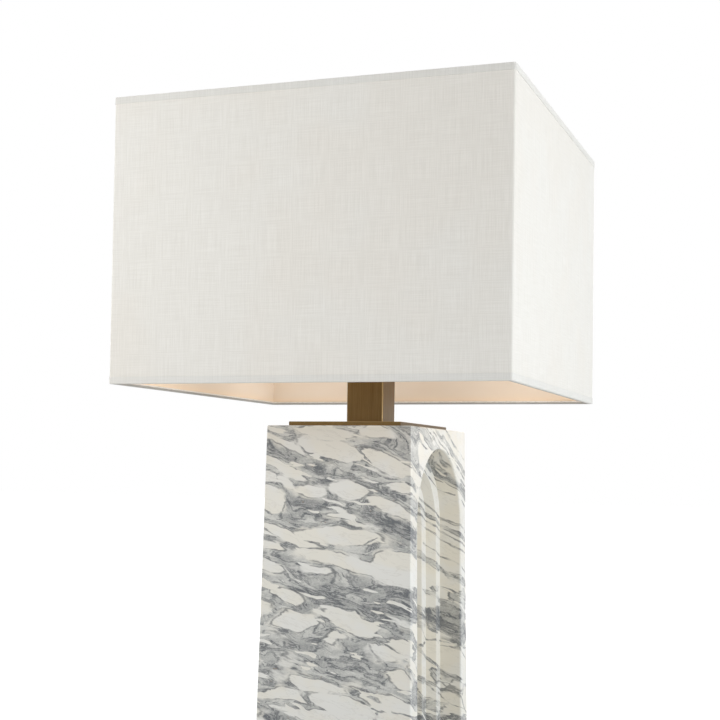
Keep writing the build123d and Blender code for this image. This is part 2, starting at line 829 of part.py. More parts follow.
with BuildPart() as shade_hub:
    with BuildSketch(Plane.XY.offset(stud_seat_z)):
        Circle(hub_diameter / 2)
        Circle(stud_diameter / 2 + hub_fit, mode=Mode.SUBTRACT)
    extrude(amount=hub_thickness)
finish(shade_hub, "shade_hub")

# ---------------------------------------------------------------- finial

with BuildPart() as finial:
    with BuildSketch(Plane.XY.offset(finial_z)):
        Circle(finial_neck_diameter / 2)
    extrude(amount=finial_neck_height)
    with BuildSketch(Plane.XY.offset(finial_z + finial_neck_height)):
        Rectangle(finial_side, finial_side)
    extrude(amount=finial_height)
    block = [e for e in finial.edges() if e.geom_type == GeomType.LINE]
    chamfer(block, finial_bevel)
    with BuildSketch(Plane.XY.offset(finial_z)):
        Circle(stud_diameter / 2 + finial_fit)
    extrude(amount=stud_top_z - finial_z + seat_gap, mode=Mode.SUBTRACT)
finish(finial, "finial")

print("height", round(finial_z + finial_neck_height + finial_height, 1))
print("shade from", round(shade_bottom_z, 1), "to", round(shade_top_z, 1))
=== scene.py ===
import json
import math

import bmesh
import bpy
from mathutils import Matrix, Vector, noise


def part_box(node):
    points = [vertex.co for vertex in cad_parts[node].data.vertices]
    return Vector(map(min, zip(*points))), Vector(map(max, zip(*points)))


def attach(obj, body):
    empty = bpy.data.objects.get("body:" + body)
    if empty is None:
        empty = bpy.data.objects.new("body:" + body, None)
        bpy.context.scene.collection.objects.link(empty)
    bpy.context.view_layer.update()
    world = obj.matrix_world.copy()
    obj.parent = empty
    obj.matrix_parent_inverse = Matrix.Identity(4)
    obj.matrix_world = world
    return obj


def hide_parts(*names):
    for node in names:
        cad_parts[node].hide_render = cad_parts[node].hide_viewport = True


# Column table lamp, dressed: marble with grey veins, brushed antique brass and linen.
# The scene is in metres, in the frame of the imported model. -Y is the plain front of the
# column, and the nested arches are on its X faces. Cloth meshes and patterns are worked out
# in millimetres in that frame, and the patterns come from each surface's place in it.

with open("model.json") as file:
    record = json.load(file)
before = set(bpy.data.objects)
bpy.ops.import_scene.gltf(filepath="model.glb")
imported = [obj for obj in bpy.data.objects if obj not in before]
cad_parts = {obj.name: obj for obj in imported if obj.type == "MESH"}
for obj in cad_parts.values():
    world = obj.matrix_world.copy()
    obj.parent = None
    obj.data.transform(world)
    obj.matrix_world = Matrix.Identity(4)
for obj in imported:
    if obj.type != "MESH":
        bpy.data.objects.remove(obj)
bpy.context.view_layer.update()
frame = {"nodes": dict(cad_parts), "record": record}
nodes = frame["nodes"]
MM = 0.001

# Sizes of the model that patterns and cloth follow, in millimetres
COLUMN_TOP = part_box("marble_column")[1].z / MM
PLATE_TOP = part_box("top_plate")[1].z / MM
NECK_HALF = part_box("neck_tube")[1].x / MM
SHADE_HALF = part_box("bottom_hem")[1].x / MM
SHADE_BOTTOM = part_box("bottom_hem")[0].z / MM

# ---------------------------------------------------------------- camera

CAMERA_PLACE = (0.4460, -1.2785, 0.3537)
CAMERA_HEADING = 19.69  # degrees from +Y towards -X
CAMERA_TILT = 2.26  # degrees up
CAMERA_ROLL = 0.86
CAMERA_LENS = 67.28  # millimetres
CAMERA_SENSOR = 36.0
CAMERA_SHIFT = 0.08  # the photograph shows the upper part of the lamp


def turned(degrees, axis):
    """Rotation about one axis as a 4x4 matrix."""
    return Matrix.Rotation(math.radians(degrees), 4, axis)


def make_camera():
    """Camera of the photograph: level with the middle of the lamp, off its front right."""
    lens = bpy.data.cameras.new("camera")
    lens.sensor_width = CAMERA_SENSOR
    lens.lens = CAMERA_LENS
    lens.shift_y = CAMERA_SHIFT
    camera = bpy.data.objects.new("camera", lens)
    bpy.context.scene.collection.objects.link(camera)
    aim = turned(CAMERA_HEADING, "Z") @ turned(CAMERA_TILT, "X") @ turned(-CAMERA_ROLL, "Y")
    camera.matrix_world = Matrix.Translation(CAMERA_PLACE) @ aim @ turned(90, "X")
    bpy.context.scene.camera = camera


make_camera()

# ---------------------------------------------------------------- shader helper


def srgb(red, green, blue):
    """Linear colour of an sRGB one."""
    linear = [v / 12.92 if v <= 0.04045 else ((v + 0.055) / 1.055) ** 2.4 for v in (red, green, blue)]
    return (*linear, 1.0)


def radians(*degrees):
    """Some angles in degrees, in radians."""
    return tuple(math.radians(a) for a in degrees)


class Graph:
    """The node graph of one material. Its calls take numbers or sockets and return sockets.

    Its place is that of the surface, in millimetres."""

    def __init__(self, name):
        self.material = bpy.data.materials.new(name)
        self.material.use_nodes = True
        self.tree = self.material.node_tree
        self.tree.nodes.clear()
        self.output = self.tree.nodes.new("ShaderNodeOutputMaterial")
        metres = self.tree.nodes.new("ShaderNodeTexCoord").outputs["Object"]
        self.place = self.scaled(metres, (1 / MM, 1 / MM, 1 / MM))

    def add(self, kind, inputs=(), result=0, **settings):
        """New node with its settings and its inputs, by name or number; returns one output."""
        node = self.tree.nodes.new(kind)
        for key, value in settings.items():
            setattr(node, key, value)
        for key, value in dict(inputs).items():
            socket = node.inputs[key]
            if isinstance(value, bpy.types.NodeSocket):
                self.tree.links.new(value, socket)
            else:
                socket.default_value = value
        return node.outputs[result]

    def math(self, operation, a, b=0.0, c=0.0):
        """One operation on numbers."""
        return self.add("ShaderNodeMath", {0: a, 1: b, 2: c}, operation=operation)

    def vector(self, operation, a, b=(0, 0, 0)):
        """One operation on places."""
        return self.add("ShaderNodeVectorMath", {0: a, 1: b}, operation=operation)

    def scaled(self, place, scale):
        """Place times a scale along each axis."""
        return self.vector("MULTIPLY", place, scale)

    def split(self, place):
        """The three parts of a place."""
        node = self.tree.nodes.new("ShaderNodeSeparateXYZ")
        self.tree.links.new(place, node.inputs[0])
        return list(node.outputs)

    def joined(self, x, y, z):
        """Place of three parts."""
        return self.add("ShaderNodeCombineXYZ", {0: x, 1: y, 2: z})

    def noise(self, place, cells=(1, 1, 1), detail=4.0, roughness=0.5, result=0):
        """Noise with this many cells to a unit of the place, along each axis."""
        inputs = {"Vector": self.scaled(place, cells), "Scale": 1.0}
        inputs.update({"Detail": detail, "Roughness": roughness})
        return self.add("ShaderNodeTexNoise", inputs, result=result)

    def line(self, value, middle, inner, outer, strength=1.0):
        """Line where a value passes a middle, full within one distance and gone at another."""
        away = self.math("ABSOLUTE", self.math("SUBTRACT", value, middle))
        return self.step(away, inner, outer, strength, 0.0)

    def warp(self, place, cells, reach, detail=2.0):
        """Place pushed about by up to half a reach, in swirls of this many cells to a unit."""
        swirl = self.noise(place, cells, detail=detail, result=1)
        push = self.scaled(self.vector("SUBTRACT", swirl, (0.5, 0.5, 0.5)), (reach, reach, reach))
        return self.vector("ADD", place, push)

    def step(self, value, low, high, start=0.0, end=1.0):
        """Smooth step of a value between two levels."""
        inputs = {"Value": value, "From Min": low, "From Max": high, "To Min": start, "To Max": end}
        return self.add("ShaderNodeMapRange", inputs, interpolation_type="SMOOTHSTEP")

    def mix(self, amount, first, second, blend="MIX"):
        """Mix of two colours."""
        settings = {"data_type": "RGBA", "blend_type": blend, "clamp_factor": True}
        return self.add("ShaderNodeMix", {0: amount, 6: first, 7: second}, result=2, **settings)

    def blend(self, amount, first, second):
        """Mix of two numbers."""
        return self.add("ShaderNodeMix", {0: amount, 2: first, 3: second}, data_type="FLOAT")

    def total(self, *values):
        """Sum of some values."""
        result = values[0]
        for value in values[1:]:
            result = self.math("ADD", result, value)
        return result

    def bump(self, height, distance, strength=1.0):
        """Normal over heights of a distance, in millimetres, from 0 to 1."""
        inputs = {"Height": height, "Distance": distance * MM, "Strength": strength}
        return self.add("ShaderNodeBump", inputs)

    def finish(self, **sockets):
        """Principled surface with its sockets' names joined by underscores."""
        inputs = {key.replace("_", " "): value for key, value in sockets.items()}
        surface = self.add("ShaderNodeBsdfPrincipled", inputs)
        self.tree.links.new(surface, self.output.inputs["Surface"])
        return self.material


# ---------------------------------------------------------------- marble

# White patches on the front of the column: X and Z of the middle, half length, half
# height, and how many degrees each falls to the right
WHITE_PATCHES = (
    (-9, 391, 26, 4.2, 5),
    (38, 390, 15, 6.0, 10),
    (-7, 375, 34, 9.0, 15),
    (-51, 379, 24, 2.6, 22),
    (48, 362, 29, 8.0, 22),
    (-53, 355, 25, 4.6, 25),
    (11, 337, 20, 7.6, 5),
    (-51, 342, 10, 3.4, 35),
    (-26, 334, 14, 5.4, 10),
    (-70, 327, 19, 11.5, 30),
    (63, 339, 14, 4.6, 10),
    (55, 319, 27, 5.2, 22),
    (3, 292, 43, 8.2, 3),
    (-50, 292, 33, 4.4, 20),
    (61, 264, 27, 16.5, 5),
    (12, 268, 52, 6.0, 12),
    (-71, 349, 8, 3.6, 15),
    (3, 312, 10, 1.9, 5),
    (22, 304, 11, 2.2, 8),
    (-66, 281, 12, 3.0, 10),
    (-69, 262, 17, 5.6, 20),
    (-18, 260, 15, 3.6, 5),
)
# Darker places in the grey bands between them, each with its depth of colour
DARK_PLACES = (
    (60, 300, 27, 9.5, 20, 1.0),
    (-20, 318, 42, 9.0, 8, 0.75),
    (-44, 264, 19, 8.0, 15, 0.9),
    (0, 348, 48, 6.5, 15, 0.6),
    (-58, 369, 28, 8.0, 20, 0.45),
    (60, 381, 15, 13.0, 30, 0.35),
    (9, 287, 25, 3.4, 4, 0.7),
    (-24, 276, 46, 6.0, 20, 0.55),
)
# Thin dark threads that cross the white, placed as the patches are
DARK_THREADS = (
    (26, 369, 13, 1.3, 40),
    (-36, 362, 20, 0.9, 17),
    (30, 285, 14, 0.8, -28),
    (47, 348, 16, 0.8, 14),
    (-10, 382, 12, 0.7, 3),
)
THREAD_WEIGHT = 2.5  # how strongly a thread cuts into a patch
PATCH_BLEND = 1.0  # millimetres within which patches flow together
# Veins of the arched +X face: height of the layer at the front, and half thickness
SIDE_VEINS = (
    (447, 1.6),
    (434, 3.6),
    (427, 1.2),
    (420, 1.6),
    (411, 6.0),
    (399, 1.0),
    (374, 1.5),
    (366, 2.7),
    (359, 1.3),
    (351, 0.9),
    (334, 1.0),
    (319, 4.2),
)
SIDE_START = 60.0  # X from which these heights are measured
SIDE_FALL = 0.25  # for each millimetre outwards from there
CLEAR = -20.0  # deeper into the white than any vein reaches
# Scattered patches elsewhere: half width of the bands between them, and millimetres for
# each unit of distance from the edge of a cell
BAND_WIDTH = (0.7, 7.5)
CELL_DEPTH = 26.0
# All patches: how far their outlines waver, depth of the white slivers in the bands, how
# softly a band starts, and how far inside it the thin dark line lies, in millimetres
WAVER = 3.4
SLIVER = 9.0
SOFTNESS = (0.5, 4.6)
RIM_DEPTH = 0.6

LAYER_FALL = 0.42  # the layers fall this much for each millimetre towards the back
BAND_TILT = 14  # degrees that the bands fall to the right
COLUMN_FRONT = -95.0  # about the middle of the leaning front face
COLUMN_TOP_HALF = 72.7  # half its width at the top
COLUMN_LEAN = 0.0152  # its faces spread this much for each millimetre down
# Where the placed patches of the front and the veins of the arched face take over
FRONT_Y = (-58.0, -84.0)
ARCHED_X = (20.0, 40.0)
PLACED_Z = (232.0, 254.0)
# Painted shade in the reveals: how deep behind the face it starts, how far they face sideways,
# and the strip along the corners of the column that it doesn't reach
REVEAL_DEPTH = (0.8, 2.2)
REVEAL_FACING = (0.97, 0.75)
REVEAL_END_Y = (86.0, 80.0)

WHITE = (1, 1, 1, 1)
# Warm beige of the painted shade in the carved reveals
RECESS_SHADE = (0.866, 0.835, 0.772, 1)
COOL_WHITE, WARM_WHITE = srgb(0.850, 0.851, 0.836), srgb(0.852, 0.844, 0.810)
WISP = srgb(0.70, 0.69, 0.66)
LIGHT_GREY, DARK_GREY = srgb(0.785, 0.788, 0.772), srgb(0.365, 0.38, 0.395)
RIM = srgb(0.40, 0.41, 0.415)
RUST = srgb(0.50, 0.42, 0.35)


def patch_radius(g, place, x, z, length, height, fall):
    """How far out a place is in one patch, 1 at its edge."""
    inputs = {
        "Vector": place,
        "Location": (x, COLUMN_FRONT, z),
        "Rotation": radians(0, fall, 0),
        "Scale": (length, 1.5 * length, height),
    }
    local = g.add("ShaderNodeMapping", inputs, vector_type="TEXTURE")
    return g.add("ShaderNodeVectorMath", {0: local}, result=1, operation="LENGTH")


def placed_patches(g, place):
    """Distance into the bands from the nearest placed patch, across them, below zero inside."""
    away = None
    for x, z, length, height, fall in WHITE_PATCHES:
        radius = patch_radius(g, place, x, z, length, height, fall)
        outside = g.math("MULTIPLY", g.math("SUBTRACT", radius, 1.0), height)
        away = outside if away is None else g.math("SMOOTH_MIN", away, outside, PATCH_BLEND)
    for x, z, length, height, fall in DARK_THREADS:
        radius = patch_radius(g, place, x, z, length, height, fall)
        inside = g.math("MULTIPLY", g.math("SUBTRACT", 1.0, radius), THREAD_WEIGHT * height)
        away = g.math("MAXIMUM", away, inside)
    return away


def side_sheets(g, place):
    """Distance into the nearest of the few sheets of vein that cross the arched face."""
    across, _, level = g.split(place)
    outwards = g.math("SUBTRACT", across, SIDE_START)
    level = g.math("ADD", level, g.math("MULTIPLY", outwards, SIDE_FALL))
    away = CLEAR
    for height, half in SIDE_VEINS:
        from_middle = g.math("ABSOLUTE", g.math("SUBTRACT", level, height))
        away = g.math("MAXIMUM", away, g.math("SUBTRACT", half, from_middle))
    return away


def scattered_cells(g, tilted, swathe):
    """Distance into the bands where the patches are the insides of long flat cells."""
    inputs = {"Vector": g.scaled(tilted, (0.015, 0.014, 0.048)), "Scale": 1.0}
    edge = g.add("ShaderNodeTexVoronoi", inputs, feature="DISTANCE_TO_EDGE")
    width = g.step(swathe, 0.36, 0.66, *BAND_WIDTH)
    return g.math("SUBTRACT", width, g.math("MULTIPLY", edge, CELL_DEPTH))


def wavering(g, tilted, away):
    """The same distance with wavering outlines, and with small white slivers in the bands."""
    waver = g.noise(tilted, (0.07, 0.07, 0.34), detail=4.0)
    away = g.math("ADD", away, g.math("MULTIPLY", g.math("SUBTRACT", waver, 0.5), WAVER))
    bits = g.noise(tilted, (0.035, 0.035, 0.20), detail=1.0)
    return g.math("SUBTRACT", away, g.step(bits, 0.60, 0.72, 0.0, SLIVER))


def vein_fibre(g, tilted, away):
    """Noise drawn out along the bands and round the patches."""
    along, deep, over = g.split(tilted)
    across = g.math("ADD", g.math("MULTIPLY", away, 0.22), g.math("MULTIPLY", over, 0.14))
    flow = g.joined(g.math("MULTIPLY", along, 0.022), g.math("MULTIPLY", deep, 0.022), across)
    return g.noise(flow, detail=6.0, roughness=0.62)


def band_color(g, rippled, fibre, grain, dark):
    """Grey of the bands: fine dark lines over clouds of lighter grey."""
    cloud = g.noise(rippled, (0.05, 0.05, 0.14), roughness=0.6)
    shade = g.total(
        g.step(fibre, 0.36, 0.64, 0.0, 0.30),
        g.math("MULTIPLY", g.line(fibre, 0.5, 0.0, 0.055), 0.56),
        g.step(cloud, 0.38, 0.66, 0.0, 0.30),
        g.math("MULTIPLY", dark, 0.36),
        g.math("MULTIPLY", g.math("SUBTRACT", grain, 0.5), 0.9),
    )
    return g.mix(shade, LIGHT_GREY, DARK_GREY)


def ground_color(g, tilted):
    """White ground, from cool to cream, with a few faint wisps."""
    warmth = g.noise(g.place, (0.028, 0.028, 0.04), detail=3.0)
    ground = g.mix(g.step(warmth, 0.38, 0.62), COOL_WHITE, WARM_WHITE)
    wisps = g.noise(tilted, (0.02, 0.02, 0.10), detail=5.0, roughness=0.6)
    return g.mix(g.line(wisps, 0.5, 0.0, 0.02, 0.25), ground, WISP)


def reveal_painted_shade(g, x, y, z):
    """Painted shade in the carved reveals: a warm beige darkening behind the face, where they face
    sideways.
    """
    normal = g.add("ShaderNodeNewGeometry", result="Normal")
    sideways = g.math("ABSOLUTE", g.split(normal)[0])
    lean = g.math("MULTIPLY", g.math("SUBTRACT", COLUMN_TOP, z), COLUMN_LEAN)
    depth = g.math("SUBTRACT", g.math("ADD", COLUMN_TOP_HALF, lean), g.math("ABSOLUTE", x))
    shaded_reveal = g.math("MULTIPLY", g.step(depth, *REVEAL_DEPTH), g.step(sideways, *REVEAL_FACING))
    between = g.step(g.math("ABSOLUTE", y), *REVEAL_END_Y)
    return g.mix(g.math("MULTIPLY", shaded_reveal, between), WHITE, RECESS_SHADE)


def marble_material():
    """White marble in lens-shaped patches, with bands of fine grey veins flowing between."""
    g = Graph("marble")
    x, y, z = g.split(g.place)
    fall = g.math("MULTIPLY", g.math("SUBTRACT", y, COLUMN_FRONT), LAYER_FALL)
    layered = g.joined(x, y, g.math("ADD", z, fall))
    # The layers bend broadly and ripple finely
    bent = g.warp(layered, (0.035, 0.03, 0.05), 9.0)
    rippled = g.warp(bent, (0.15, 0.12, 0.22), 1.8, detail=3.0)
    turn = {"Vector": rippled, "Rotation": radians(0, BAND_TILT, 0)}
    tilted = g.add("ShaderNodeVectorRotate", turn, rotation_type="EULER_XYZ", invert=True)
    swathe = g.noise(tilted, (0.006, 0.006, 0.021), detail=2.0)

    # Distance into the bands, in millimetres across them and below zero inside a patch
    placed = g.step(z, *PLACED_Z)
    front = g.math("MULTIPLY", g.step(y, *FRONT_Y), placed)
    behind = g.step(y, *reversed(FRONT_Y))
    arched = g.math("MULTIPLY", g.math("MULTIPLY", g.step(x, *ARCHED_X), behind), placed)
    away = g.blend(front, scattered_cells(g, tilted, swathe), placed_patches(g, rippled))
    away = g.blend(arched, away, side_sheets(g, rippled))
    away = wavering(g, tilted, away)

    # Darker places in the bands
    placed_dark = 0.0
    for *ellipse, depth in DARK_PLACES:
        near = g.step(patch_radius(g, rippled, *ellipse), 0.45, 1.25, depth, 0.0)
        placed_dark = g.math("MAXIMUM", near, placed_dark)
    dark = g.blend(front, g.step(swathe, 0.50, 0.70, 0.0, 0.85), placed_dark)

    # The edge of a patch is soft in places and drawn by a thin dark line in others
    soft_here = g.noise(g.place, (0.05, 0.05, 0.08), detail=2.0)
    band = g.step(away, 0.0, g.step(soft_here, 0.40, 0.62, *SOFTNESS))
    rim = g.line(away, RIM_DEPTH, 0.1, 0.9)
    rim_here = g.step(g.noise(g.place, (0.06, 0.06, 0.08), detail=3.0), 0.38, 0.58, 0.0, 0.75)
    grain = g.noise(g.place, (0.55, 0.55, 0.8), detail=3.0, roughness=0.7)
    vein = band_color(g, rippled, vein_fibre(g, tilted, away), grain, dark)
    color = g.mix(band, ground_color(g, tilted), vein)
    color = g.mix(g.math("MULTIPLY", rim, rim_here), color, RIM)
    # Painted shade in the carved reveals, multiplied over the colour
    color = g.mix(1.0, color, reveal_painted_shade(g, x, y, z), "MULTIPLY")

    # Small rust-brown stains on a few veins
    spots = g.noise(g.place, (0.22, 0.22, 0.3), detail=2.0)
    color = g.mix(g.math("MULTIPLY", g.step(spots, 0.70, 0.78, 0.0, 0.7), band), color, RUST)

    pits = g.noise(g.place, (1.6, 1.6, 1.6), detail=2.0)
    relief = g.math("ADD", g.math("MULTIPLY", band, -0.4), g.math("MULTIPLY", pits, 0.4))
    return g.finish(
        Base_Color=color,
        Roughness=g.step(grain, 0.3, 0.7, 0.30, 0.42),
        Normal=g.bump(relief, 0.03, 0.6),
    )


# ---------------------------------------------------------------- metals


def antique_brass(name, along, wear_and_highlight=None):
    """Brushed brass, browned with age, with the brushing's cells to a millimetre.

    The last argument gives where the metal is rubbed bright, with a painted highlight."""
    g = Graph(name)
    brushed = g.noise(g.place, along, roughness=0.65)
    broad = g.noise(g.place, tuple(0.22 * a for a in along), detail=3.0, roughness=0.6)
    patina = g.noise(g.place, (0.06, 0.06, 0.045), detail=5.0, roughness=0.6)
    tone = g.total(g.math("MULTIPLY", broad, 0.9), g.math("MULTIPLY", patina, 0.6), -0.25)
    color = g.mix(tone, srgb(0.32, 0.245, 0.14), srgb(0.455, 0.37, 0.24))
    strokes = g.step(brushed, 0.35, 0.75, 0.0, 0.4)
    color = g.mix(strokes, color, srgb(0.57, 0.475, 0.32))
    if wear_and_highlight is not None:
        # Rubbed wear and a painted highlight, in one pale brass colour
        color = g.mix(wear_and_highlight(g), color, srgb(0.66, 0.585, 0.44))
    return g.finish(
        Base_Color=color,
        Metallic=1.0,
        Roughness=g.step(brushed, 0.3, 0.7, 0.30, 0.48),
        Normal=g.bump(brushed, 0.02, 0.5),
    )


def corner_highlight_and_wear(g):
    """The neck's four upright corners, rubbed bright, with a painted highlight."""
    x, y, _ = g.split(g.place)
    nearer = g.math("MINIMUM", g.math("ABSOLUTE", x), g.math("ABSOLUTE", y))
    return g.step(nearer, NECK_HALF - 1.65, NECK_HALF - 0.35, 0.0, 0.5)


def plate_edge_highlight_and_wear(g):
    """The top edge of the plate, rubbed bright, with a painted highlight."""
    _, _, z = g.split(g.place)
    return g.step(z, PLATE_TOP - 0.7, PLATE_TOP - 0.1, 0.0, 0.15)


def plain_metal(name, color, second, roughness):
    """Satin metal with a light drawn grain and a little tarnish."""
    g = Graph(name)
    tarnish = g.noise(g.place, (0.09, 0.09, 0.05))
    grain = g.noise(g.place, (2.4, 2.4, 0.5), detail=3.0)
    base = g.mix(g.step(tarnish, 0.40, 0.72), color, second)
    return g.finish(
        Base_Color=base,
        Metallic=1.0,
        Roughness=g.step(tarnish, 0.3, 0.7, roughness, roughness + 0.16),
        Normal=g.bump(grain, 0.01, 0.5),
    )


# ---------------------------------------------------------------- cloth, board and plastic

THREAD_CELLS = 1.35  # cells of noise to a millimetre across the threads
SLUB_CELLS = 0.33  # the same across the thicker threads
HEM_BEHIND = SHADE_HALF - 4.0  # the inner leg of a hem is nearer the axis than this


def woven(g):
    """Uneven upright threads, level threads and thick upright ones round a square shade."""
    x, y, z = g.split(g.place)
    around = g.math("ADD", x, y)
    # Each kind has its own slice of the noise, at a depth of its own
    upright = g.joined(g.math("MULTIPLY", around, THREAD_CELLS), 0.0, g.math("MULTIPLY", z, 0.035))
    level = g.joined(g.math("MULTIPLY", around, 0.03), 7.0, g.math("MULTIPLY", z, THREAD_CELLS))
    thick = g.joined(g.math("MULTIPLY", around, SLUB_CELLS), 3.0, g.math("MULTIPLY", z, 0.012))
    warp = g.noise(upright, detail=2.0, roughness=0.6)
    weft = g.noise(level, detail=2.0, roughness=0.6)
    slubs = g.noise(thick, detail=3.0, roughness=0.6)
    return warp, weft, slubs


def linen_material(name, cool, warm, dark, inner=None):
    """Plain linen of fine uneven threads, with painted shade on a hem's inner leg."""
    g = Graph(name)
    warp, weft, slubs = woven(g)
    broad = g.noise(g.place, (0.008, 0.008, 0.008), detail=2.0)
    color = g.mix(g.step(broad, 0.4, 0.6), cool, warm)
    threads = g.total(
        g.math("MULTIPLY", warp, 0.6),
        g.math("MULTIPLY", weft, 0.45),
        g.math("MULTIPLY", slubs, 0.2),
    )
    color = g.mix(g.step(threads, 0.48, 0.78, 0.26, 0.0), color, dark)
    # Painted shade on the inner leg of a hem
    if inner is not None:
        x, y, _ = g.split(g.place)
        outwards = g.math("MAXIMUM", g.math("ABSOLUTE", x), g.math("ABSOLUTE", y))
        color = g.mix(g.step(outwards, HEM_BEHIND, HEM_BEHIND + 1.0), inner, color)
    return g.finish(
        Base_Color=color,
        Roughness=0.92,
        Specular_IOR_Level=0.25,
        Sheen_Weight=0.12,
        Sheen_Roughness=0.5,
        Normal=g.bump(g.math("ADD", warp, weft), 0.16, 0.5),
    )


def liner_material():
    """Warm white backing, yellower along the bottom where the room's light gathers."""
    g = Graph("shade_liner")
    _, _, z = g.split(g.place)
    cloud = g.noise(g.place, (0.01, 0.01, 0.015), detail=3.0)
    color = g.mix(g.step(cloud, 0.4, 0.6), srgb(0.96, 0.90, 0.83), srgb(0.95, 0.885, 0.81))
    low = g.step(z, SHADE_BOTTOM + 0.8, SHADE_BOTTOM + 13.8, 0.8, 0.0)
    color = g.mix(low, color, srgb(0.98, 0.893, 0.785))
    fine = g.noise(g.place, (1.1, 1.1, 1.1), detail=3.0)
    return g.finish(Base_Color=color, Roughness=0.62, Normal=g.bump(fine, 0.03, 0.5))


def felt_material():
    """Black felt of short matted hair."""
    g = Graph("felt")
    matted = g.warp(g.place, (0.8, 0.8, 0.8), 2.5)
    hair = g.noise(matted, (1.2, 1.2, 2.0), detail=6.0, roughness=0.75)
    color = g.mix(g.step(hair, 0.3, 0.75), srgb(0.13, 0.13, 0.135), srgb(0.30, 0.30, 0.30))
    return g.finish(
        Base_Color=color,
        Roughness=1.0,
        Sheen_Weight=0.5,
        Sheen_Roughness=0.6,
        Normal=g.bump(hair, 0.4, 0.9),
    )


def moulded(name, color, second, roughness):
    """Moulded part with a faint flow pattern and a fine grain."""
    g = Graph(name)
    flow = g.noise(g.warp(g.place, (0.1, 0.1, 0.1), 8.0), (0.3, 0.3, 0.12))
    grain = g.noise(g.place, (3.0, 3.0, 3.0), detail=2.0)
    base = g.mix(g.step(flow, 0.35, 0.7), color, second)
    return g.finish(
        Base_Color=base,
        Roughness=g.step(flow, 0.3, 0.7, roughness, roughness + 0.15),
        Normal=g.bump(grain, 0.02, 0.6),
    )


def painted_wire():
    """White enamel over wire, chipped thin in small spots."""
    g = Graph("frame_wire")
    uneven = g.noise(g.place, (0.5, 0.5, 0.5))
    color = g.mix(g.step(uneven, 0.45, 0.7), srgb(0.93, 0.92, 0.90), srgb(0.86, 0.85, 0.82))
    color = g.mix(g.step(uneven, 0.74, 0.78, 0.0, 0.6), color, srgb(0.50, 0.46, 0.42))
    return g.finish(Base_Color=color, Roughness=0.38, Normal=g.bump(uneven, 0.06, 0.5))


def board_material():
    """Pressed paper board with flecks of fibre."""
    g = Graph("board")
    fibre = g.noise(g.warp(g.place, (0.4, 0.4, 0.4), 3.0), (0.5, 0.5, 2.2), detail=5.0)
    color = g.mix(g.step(fibre, 0.35, 0.7), srgb(0.66, 0.54, 0.38), srgb(0.50, 0.39, 0.26))
    return g.finish(Base_Color=color, Roughness=0.9, Normal=g.bump(fibre, 0.1, 0.6))


def frosted_glass():
    """White-coated bulb glass, soft and slightly translucent."""
    g = Graph("frosted_glass")
    dust = g.noise(g.place, (0.9, 0.9, 0.9))
    color = g.mix(g.step(dust, 0.4, 0.7), srgb(0.95, 0.95, 0.93), srgb(0.92, 0.915, 0.89))
    return g.finish(
        Base_Color=color,
        Roughness=0.32,
        Transmission_Weight=0.25,
        IOR=1.46,
        Normal=g.bump(dust, 0.02, 0.5),
    )


# Cool, warm and shaded threads, and painted shade on the inner leg of a hem
LINEN = (srgb(0.928, 0.922, 0.903), srgb(0.925, 0.914, 0.890), srgb(0.78, 0.765, 0.73))
HEM = (srgb(0.897, 0.895, 0.880), srgb(0.893, 0.888, 0.870), srgb(0.75, 0.745, 0.725))
HEM_PAINTED_SHADE = srgb(0.66, 0.655, 0.64)

FINISHES = {
    "marble": marble_material(),
    "felt": felt_material(),
    "antique_brass": antique_brass("antique_brass", (2.2, 2.2, 2.2)),
    "bright_brass": plain_metal("bright_brass", srgb(0.81, 0.70, 0.46), srgb(0.68, 0.575, 0.37), 0.26),
    "plated_steel": plain_metal("plated_steel", srgb(0.72, 0.71, 0.68), srgb(0.58, 0.57, 0.55), 0.30),
    "aluminium": plain_metal("aluminium", srgb(0.84, 0.84, 0.84), srgb(0.74, 0.74, 0.75), 0.28),
    "linen": linen_material("linen", *LINEN),
    "shade_liner": liner_material(),
    "hem_tape": linen_material("hem_tape", *HEM, HEM_PAINTED_SHADE),
    "frame_wire": painted_wire(),
    "phenolic": moulded("phenolic", srgb(0.085, 0.07, 0.06), srgb(0.15, 0.12, 0.10), 0.30),
    "board": board_material(),
    "frosted_glass": frosted_glass(),
    "black_glass": moulded("black_glass", srgb(0.03, 0.03, 0.035), srgb(0.06, 0.06, 0.07), 0.10),
}
# Cells of brushing to a millimetre, long along Z and along X
UPRIGHT_BRUSHING, LEVEL_BRUSHING = (2.6, 2.6, 0.03), (0.03, 2.6, 2.6)
# Pieces with a finish of their own, instead of their material slot's
OWN_FINISHES = {
    "neck_tube": antique_brass("neck_brass", UPRIGHT_BRUSHING, corner_highlight_and_wear),
    "neck_cap": antique_brass("neck_cap_brass", UPRIGHT_BRUSHING, corner_highlight_and_wear),
    "top_plate": antique_brass("plate_brass", LEVEL_BRUSHING, plate_edge_highlight_and_wear),
    "finial": antique_brass("finial_brass", UPRIGHT_BRUSHING),
}

for entry in frame["record"]["subparts"]:
    node = nodes[entry["node"]]
    node.data.materials.clear()
    node.data.materials.append(OWN_FINISHES.get(entry["node"], FINISHES[entry["material_slot"]]))

# ---------------------------------------------------------------- cloth pieces

